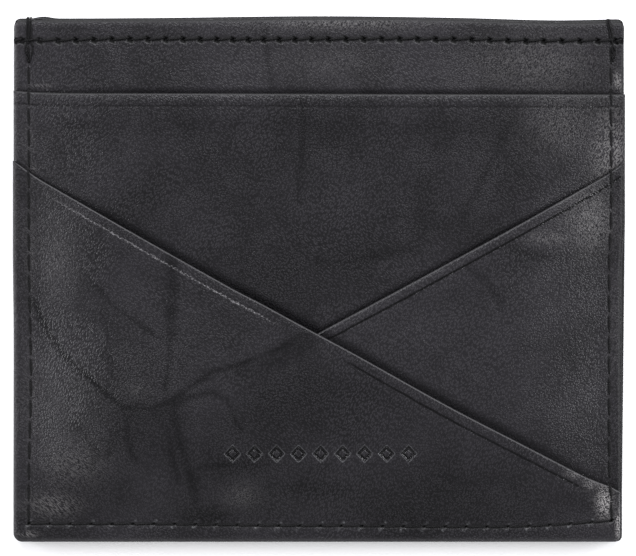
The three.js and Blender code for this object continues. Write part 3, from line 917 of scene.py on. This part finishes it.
def leather_grain(m, place):
    """Height of the grain, 0 in the creases between pebbles and 1 on their tops."""
    warp = ((0, m.noise(place, 0.9, output="Color")), (1, (0.7, 0.7, 0.0)), (2, place))
    at = m.add("ShaderNodeVectorMath", 0, warp, operation="MULTIPLY_ADD")
    even = m.pebbles(at, 3.2)
    falling = m.pebbles(m.drawn_out(at, -42, 2.1), 3.6)
    rising = m.pebbles(m.drawn_out(at, 66, 2.0), 3.6)
    drawn = m.mix(m.step(m.noise(place, 0.055, 2), 0.45, 0.56), falling, rising)
    cells = m.mix(m.step(m.noise(place, 0.11, 3), 0.38, 0.6), even, drawn)
    return m.step(cells, 0.12, 0.62, 1.0, 0.0)


def rubbed_net(m, place):
    """The net of tiny lines in a rubbed place: drawn out along the wrinkles, which
    fall to the right on the left side and rise on the upper right."""
    at_x, at_y, _ = m.parts(place)
    even = m.noise(place, 5.0, 1)
    falling = m.noise(m.drawn_out(place, -40, 4.0), 6.4, 1)
    rising = m.noise(m.drawn_out(place, 62, 2.2), 5.4, 1)
    net = m.mix(m.step(at_y, -10.0, 2.0), even, rising)
    return m.mix(m.step(at_x, -25.0, -15.0, 1.0, 0.0), net, falling)


def line_along(m, distance, middle, full, none):
    """1 where a distance is within full of middle, and 0 beyond none."""
    away = m.math("ABSOLUTE", m.math("SUBTRACT", distance, middle))
    return m.step(away, full, none, 1.0, 0.0)


def crease_lines(m, place):
    """The line along the end of the turned edge: smooth, where its shade is painted, and as a worn zigzag.
    """
    behind = m.attribute("behind")
    swayed = m.math("MULTIPLY_ADD", m.noise(place, 0.5, 1), 0.16, behind)
    bent = m.math("MULTIPLY_ADD", m.noise(place, 2.1, 2, 0.6), 0.95, behind)
    return line_along(m, swayed, 0.08, 0.08, 0.26), line_along(m, bent, 0.5, 0.03, 0.15)


# The leather's colours, from its hollows and tops to its marks. The grain's hollows are painted darker than
# its tops, as shade, over the hide's own cloudy tone.
HIDE_DARK_AND_HOLLOW_SHADE = (0.0056, 0.0051, 0.0062)
HIDE_LIGHT = (0.0234, 0.0217, 0.0257)
MARKS_AND_SHADE_BLACK = (0.0014, 0.0014, 0.0016)
VEIN_BLACK = (0.0009, 0.0009, 0.0011)
SHADE_BLACK = (0.0014, 0.0014, 0.0015)
RUBBED_AND_SHEEN_PALE = (0.3, 0.288, 0.285)
SCUFF_PALE = (0.125, 0.121, 0.126)
WEAR_AND_HIGHLIGHT_PALE = (0.07, 0.068, 0.071)
LIP_PALE = (0.14, 0.142, 0.148)
# Its roughness. Under lights that stand low round a dark ceiling, a smoother place
# looks darker, but a turned edge leans towards them, and a matt one catches them least.
HOLLOW_ROUGH = 0.31
TOP_ROUGH = 0.385
SLEEK_ROUGH = 0.2
SHADOW_ROUGH = 0.14
RUBBED_ROUGH = 0.62
EDGE_ROUGH = 0.9


def leather_material():
    m = Recipe(bpy.data.materials.new("black_leather"))
    place = m.millimetres()
    grain = leather_grain(m, place)
    pores = m.noise(place, 4.2, 2, 0.6)
    blot = m.noise(place, 0.5, 3, 0.6)
    specks = m.noise(place, 3.2, 1)
    vein = m.attribute("vein")
    marks_and_shade = m.attribute("marks_and_shade")
    # Painted shade on the beads' outer sides, along the right cut edges, and in the needle holes and stitch
    # grooves.
    edge = m.larger(m.attribute("edge"), m.attribute("pit_shade"))
    outline = m.attribute("stamp")
    stamp = m.times(m.step(outline, 0.88, 1.0, 1.0, 0.0), m.step(outline, 0.46, 0.6))
    # A painted glint along the rim of each stamped lozenge.
    stamp_rim_glint = m.times(m.step(outline, 0.95, 1.04, 0.0, 0.42), m.step(outline, 1.06, 1.2, 1.0, 0.0))

    relief = m.mix(m.step(blot, 0.3, 0.7, 0.3, 0.55), grain, pores)
    tops = m.step(relief, 0.35, 0.8)
    cloudy = m.step(m.noise(place, 0.09, 4, 0.6), 0.3, 0.7, 0.0, 0.5)
    # The grain's hollows are painted darker than its tops, as shade.
    colour = m.mix_colour(m.math("MULTIPLY_ADD", tops, 0.5, cloudy), HIDE_DARK_AND_HOLLOW_SHADE, HIDE_LIGHT)
    # Darker places: marks in the hide and painted shade.
    speckled_marks_and_shade = m.times(marks_and_shade, m.step(relief, 0.35, 0.7, 1.5, 0.4), clamp=True)
    # Pale places: rubbed wear and painted sheen.
    pale = m.math("POWER", m.attribute("rubbed_and_sheen"), 2.3)
    pale = m.times(pale, m.step(rubbed_net(m, place), 0.42, 0.6))
    smooth_line, zigzag = crease_lines(m, place)
    scuff = m.times(m.attribute("scuff"), zigzag)
    scuff = m.times(scuff, m.step(specks, 0.4, 0.56, 0.12, 1.0))
    # A pale line along the bead: wear and a painted highlight.
    wear_and_highlight = m.times(m.attribute("wear_and_highlight"), m.step(specks, 0.2, 0.5, 0.5, 1.0))
    # The stamp rims' painted glint is drawn together with the pale lips at the needle holes.
    lip = m.larger(m.attribute("lip"), stamp_rim_glint)
    lip = m.times(lip, m.step(specks, 0.3, 0.6, 0.1, 0.9))
    # The crease's dark line is painted shade.
    crease_shade = m.times(m.attribute("crease_shade"), smooth_line)
    crease_shade = m.times(crease_shade, m.step(specks, 0.38, 0.54, 0.75, 1.0))
    # Painted shade beside the mouths, along the creases and in the stamp's pressed outlines.
    shadow = m.larger(m.times(stamp, 0.7), m.times(m.attribute("shade"), 0.56))
    shadow = m.larger(shadow, crease_shade)
    for share, mark in ((speckled_marks_and_shade, MARKS_AND_SHADE_BLACK), (vein, VEIN_BLACK), (pale, RUBBED_AND_SHEEN_PALE),
                        (scuff, SCUFF_PALE), (wear_and_highlight, WEAR_AND_HIGHLIGHT_PALE), (lip, LIP_PALE),
                        (m.larger(shadow, edge), SHADE_BLACK)):
        colour = m.mix_colour(share, colour, mark)
    m.surface("Base Color", colour)

    rough = m.math("MULTIPLY_ADD", blot, 0.12, m.mix(tops, HOLLOW_ROUGH, TOP_ROUGH))
    sleek = m.larger(m.times(vein, 0.8), m.times(marks_and_shade, 0.55))
    for share, level in ((sleek, SLEEK_ROUGH), (shadow, SHADOW_ROUGH),
                         (m.larger(wear_and_highlight, pale), RUBBED_ROUGH), (edge, EDGE_ROUGH)):
        rough = m.mix(share, rough, level)
    m.surface("Roughness", rough)
    m.surface("Specular IOR Level", 0.4)

    normal = m.bump(m.math("SUBTRACT", 1.0, stamp), 0.1)
    normal = m.bump(grain, 0.024, before=normal)
    m.surface("Normal", m.bump(pores, 0.034, before=normal))
    return m.owner


THREAD_PLIES = 3
PLY_TWIST = 1.6         # turns per millimetre
WEAVE_PITCH = 0.36


def waving(m, value, factor):
    """A sine of a value times a factor."""
    return m.math("SINE", m.times(value, factor))


def thread_material():
    """Twisted thread: UV x is the length in millimetres, UV y goes once round."""
    m = Recipe(bpy.data.materials.new("black_thread"))
    along, around, _ = m.parts(m.add("ShaderNodeUVMap", "UV", (), uv_map="UVMap"))
    lay = m.math("ADD", m.times(along, PLY_TWIST), around)
    plies = m.math("MULTIPLY_ADD", waving(m, lay, THREAD_PLIES * 2 * math.pi), 0.5, 0.5)
    fibres = m.noise(m.millimetres(), 14, 2)
    m.surface("Base Color", m.mix_colour(plies, (0.0025, 0.0024, 0.0026), (0.0095, 0.0092, 0.0098)))
    m.surface("Roughness", 0.55)
    m.surface("Specular IOR Level", 0.12)
    m.surface("Normal", m.bump(fibres, 0.02, 0.5, m.bump(plies, 0.05, 0.9)))
    return m.owner


def lining_material():
    m = Recipe(bpy.data.materials.new("woven_lining"))
    place = m.millimetres()
    at_x, at_y, _ = m.parts(place)
    weave = m.times(waving(m, at_x, 2 * math.pi / WEAVE_PITCH), waving(m, at_y, 2 * math.pi / WEAVE_PITCH))
    weave = m.math("MULTIPLY_ADD", weave, 0.5, 0.5)
    slub = m.times(m.noise(place, 0.9, 3), 0.4)
    colour = m.mix_colour(weave, (0.006, 0.006, 0.007), (0.02, 0.02, 0.023))
    m.surface("Base Color", m.mix_colour(slub, colour, (0.012, 0.012, 0.014)))
    m.surface("Roughness", 0.85)
    m.surface("Sheen Weight", 0.3)
    m.surface("Normal", m.bump(weave, 0.06, 0.8))
    return m.owner


# ------------ the holder
leather = leather_material()
thread = thread_material()
cloth = lining_material()


def dress(piece, material, slot, *nodes):
    piece.data.materials.append(material)
    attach(piece, "root")
    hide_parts(*nodes)


# The mouths that lie over a panel: (mouth, slope, how wide the shade beside it is).
SLOT_OVER = [(slot_mouth, 0, 0.55)]
SLANTS_OVER = [(left_mouth, LEFT_SLOPE, 1.0), (right_mouth, RIGHT_SLOPE, 0.35)]
BODY_EDGES = (LEFT + 0.1, RIGHT - 0.1)
INNER_LEFT = LEFT + 0.08

# Name, mouth and its slope, outer face, cut edges, how far below the mouth the lining
# stops, and what else turned_panel is told.
PANELS = (
    ("back_panel", back_mouth, 0, back_z, BODY_EDGES, 2.0, {"facing": -1, "grid": 0.45}),
    ("front_panel", front_mouth, 0, front_z, BODY_EDGES, 2.0,
     {"grid": 0.17, "next_mouths": SLOT_OVER}),
    ("slot_pocket", slot_mouth, 0, slot_z, (INNER_LEFT, RIGHT), 1.6,
     {"middle_rows": 170, "next_mouths": SLANTS_OVER}),
    ("right_pocket", right_mouth, RIGHT_SLOPE, right_z, (INNER_LEFT, RIGHT - 0.42), 1.8,
     {"fine_from": -4, "next_mouths": SLANTS_OVER[:1]}),
    ("left_pocket", left_mouth, LEFT_SLOPE, left_z, (LEFT, RIGHT - 0.46), 1.8, {"middle_rows": 170}),
)
for name, mouth, slope, face_z, width, _, options in PANELS:
    stands_for = [name] if name == "back_panel" else [name, name + "_margin"]
    dress(turned_panel(name, mouth, slope, face_z, width, **options), leather, "leather", *stands_for)

for panel, mouth, _, face_z, _, tuck, _ in PANELS:
    name = panel.replace("_panel", "") + "_lining"
    if panel == "back_panel":       # its lining lies over the seams' grooves
        cut = lining(name, mouth, zeros, LEATHER, tuck, facing=-1)
    else:
        cut = lining(name, mouth, face_z, LEATHER if is_body(panel) else POCKET_LEATHER, tuck)
    dress(cut, cloth, "lining", name)
    start = BOTTOM + LINING_INSET
    mean = float(np.mean(mouth(np.linspace(LEFT, RIGHT, 50)))) - tuck - start
    tall = float(np.max(mouth(np.array([LEFT, RIGHT])))) - tuck - start


def below_top(x, steps):
    """Points from steps of (distance to the right of x, distance below the top)."""
    return [(x + right, TOP - down) for right, down in steps]


def over_the_edge(points):
    """A strand that lies on the front panel and passes over the top edge to the back."""
    path = [(x, y, float(front_z(x, y)) + THREAD_LIFT) for x, y in points]
    x, y = points[-1]
    edge = float(back_mouth(x))
    face = float(front_z(x, y))
    path += [(x, edge - 0.1, face - 0.12), (x, edge + 0.02, face - 0.5), (x, edge + 0.02, 0.6),
             (x, edge - 0.1, 0.25), (x, edge - 1.2, 0.3)]
    return path


# The back tacks at the tops of the side seams: strands over the edge, and loops below.
LEFT_TACK = seam_left(TOP)
RIGHT_TACK = seam_right(TOP)
TACK_STRANDS = [(LEFT_TACK, [(s, 4.4), (s, 3.2), (s, 1.8), (0.8 * s, 0.9)]) for s in (-0.26, 0.0, 0.44)]
TACK_STRANDS += [(RIGHT_TACK, [(s + 0.1, 3.6), (s - 0.1, 2.3), (s - 0.4, 1.2)]) for s in (-0.14, 0.12)]
TACK_LOOPS = (
    (LEFT_TACK, [(-0.3, 4.2), (-0.5, 5.2), (-0.3, 6.3), (0.0, 7.4)]),
    (LEFT_TACK, [(0.42, 4.0), (0.72, 5.0), (0.45, 6.3), (0.12, 7.3)]),
    (RIGHT_TACK, [(0.1, 3.4), (0.3, 4.8), (0.18, 6.0), (0.36, 7.3)]),
    (RIGHT_TACK, [(0.32, 4.6), (0.75, 5.6), (0.45, 6.8)]),
)
BODY_SEAMS = ("left", "bottom", "right")
front_paths = [stitched_path(HOLES[k], top_face, slant=GROOVES[k][0], crown=0.05, press=0.1)
               for k in BODY_SEAMS]
front_paths += [over_the_edge(below_top(*strand)) for strand in TACK_STRANDS]
front_paths += [stitched_path(np.array(below_top(*loop)), front_z, slant=0.05, crown=0.08)
                for loop in TACK_LOOPS]


def in_groove(x, y):
    """Where a thread lies in the back's grooves."""
    return BACK_GROOVE


# Each thread: its name, the node it stands for, its radius and its paths.
THREADS = (
    ("seam_thread_front", "body_seam_needle_thread", SEAM_THREAD, front_paths),
    ("seam_thread_back", "body_seam_bobbin_thread", THREAD,
     [stitched_path(HOLES[k], in_groove, facing=-1, slant=0.05, crown=0.02) for k in BODY_SEAMS]),
    ("hem_thread_front", "front_hem_needle_thread", HEM_THREAD,
     [stitched_path(HOLES["hem"], front_z, slant=GROOVES["hem"][0], crown=0.05, sink=0.65, dive=0.16)]),
    ("hem_thread_front_inside", "front_hem_bobbin_thread", THREAD,
     [stitched_path(INNER_HEM, lambda x, y: front_z(x, y) - BODY_FOLD, facing=-1, slant=0.1,
                    crown=0.03)]),
    ("hem_thread_back", "back_hem_needle_thread", THREAD,
     [stitched_path(INNER_HEM, in_groove, facing=-1, slant=0.1, crown=0.02)]),
    ("hem_thread_back_inside", "back_hem_bobbin_thread", THREAD,
     [stitched_path(INNER_HEM, lambda x, y: BODY_FOLD, slant=0.1, crown=0.03)]),
)
for name, stands_for, radius, paths in THREADS:
    dress(thread_piece(name, paths, radius), thread, "thread", stands_for)

# ------------ floor, light and camera
FLOOR_REACH = 3.0
floor = put("floor", bpy.data.meshes.new("floor"))
corners = [(x * FLOOR_REACH, y * FLOOR_REACH, 0) for x, y in ((-1, -1), (1, -1), (1, 1), (-1, 1))]
floor.data.from_pydata(corners, [], [[0, 1, 2, 3]])
paper = Recipe(bpy.data.materials.new("paper"))
for name, value in (("Base Color", (0.9, 0.9, 0.905)), ("Roughness", 0.9), ("Specular IOR Level", 0.1),
                    ("Emission Color", (1, 1, 1)), ("Emission Strength", 0.27)):
    paper.surface(name, value)
floor.data.materials.append(paper.owner)

# The studio's walls are pale and its ceiling is dark.
world = bpy.data.worlds.new("studio")
bpy.context.scene.world = world
studio = Recipe(world, "Background")
ramp = studio.nodes.new("ShaderNodeValToRGB")
walls, ceiling = ramp.color_ramp.elements
walls.position, walls.color = 0.0, (0.9, 0.9, 0.92, 1)
ceiling.position, ceiling.color = 0.8, (0.34, 0.34, 0.35, 1)
studio.feed(ramp.inputs[0], studio.parts(studio.add("ShaderNodeTexCoord", "Generated", ()))[2])
studio.surface("Color", ramp.outputs[0])
studio.surface("Strength", 0.7)


def soft_box(name, place, size, power):
    data = bpy.data.lights.new(name, "AREA")
    data.shape = "RECTANGLE"
    data.size, data.size_y = size
    data.energy = power
    data.color = (0.965, 0.97, 1.0)
    light = put(name, data)
    light.location = place
    light.rotation_euler = Vector(place).to_track_quat("Z", "Y").to_euler()


soft_box("left_box", (-0.72, 0.1, 0.36), (0.4, 0.3), 4.6)
soft_box("right_box", (0.72, 0.12, 0.38), (0.4, 0.3), 5.6)
soft_box("top_box", (0.0, 0.68, 0.42), (0.9, 0.35), 9.0)
soft_box("low_box", (0.0, -0.8, 0.3), (0.7, 0.3), 0.8)

camera = put("camera", bpy.data.cameras.new("camera"))
DISTANCE = 0.75
FACE_HEIGHT = 0.004     # about where the front's leather lies
FRAME_WIDTH = 0.0995    # how much of the width at that height the picture shows
SENSOR = 36
camera.data.lens = SENSOR * (DISTANCE - FACE_HEIGHT) / FRAME_WIDTH
camera.data.sensor_width = SENSOR
camera.data.clip_end = 20
camera.location = (-0.00016, 0.00008, DISTANCE)
bpy.context.scene.camera = camera
bpy.context.scene.view_settings.view_transform = "Standard"
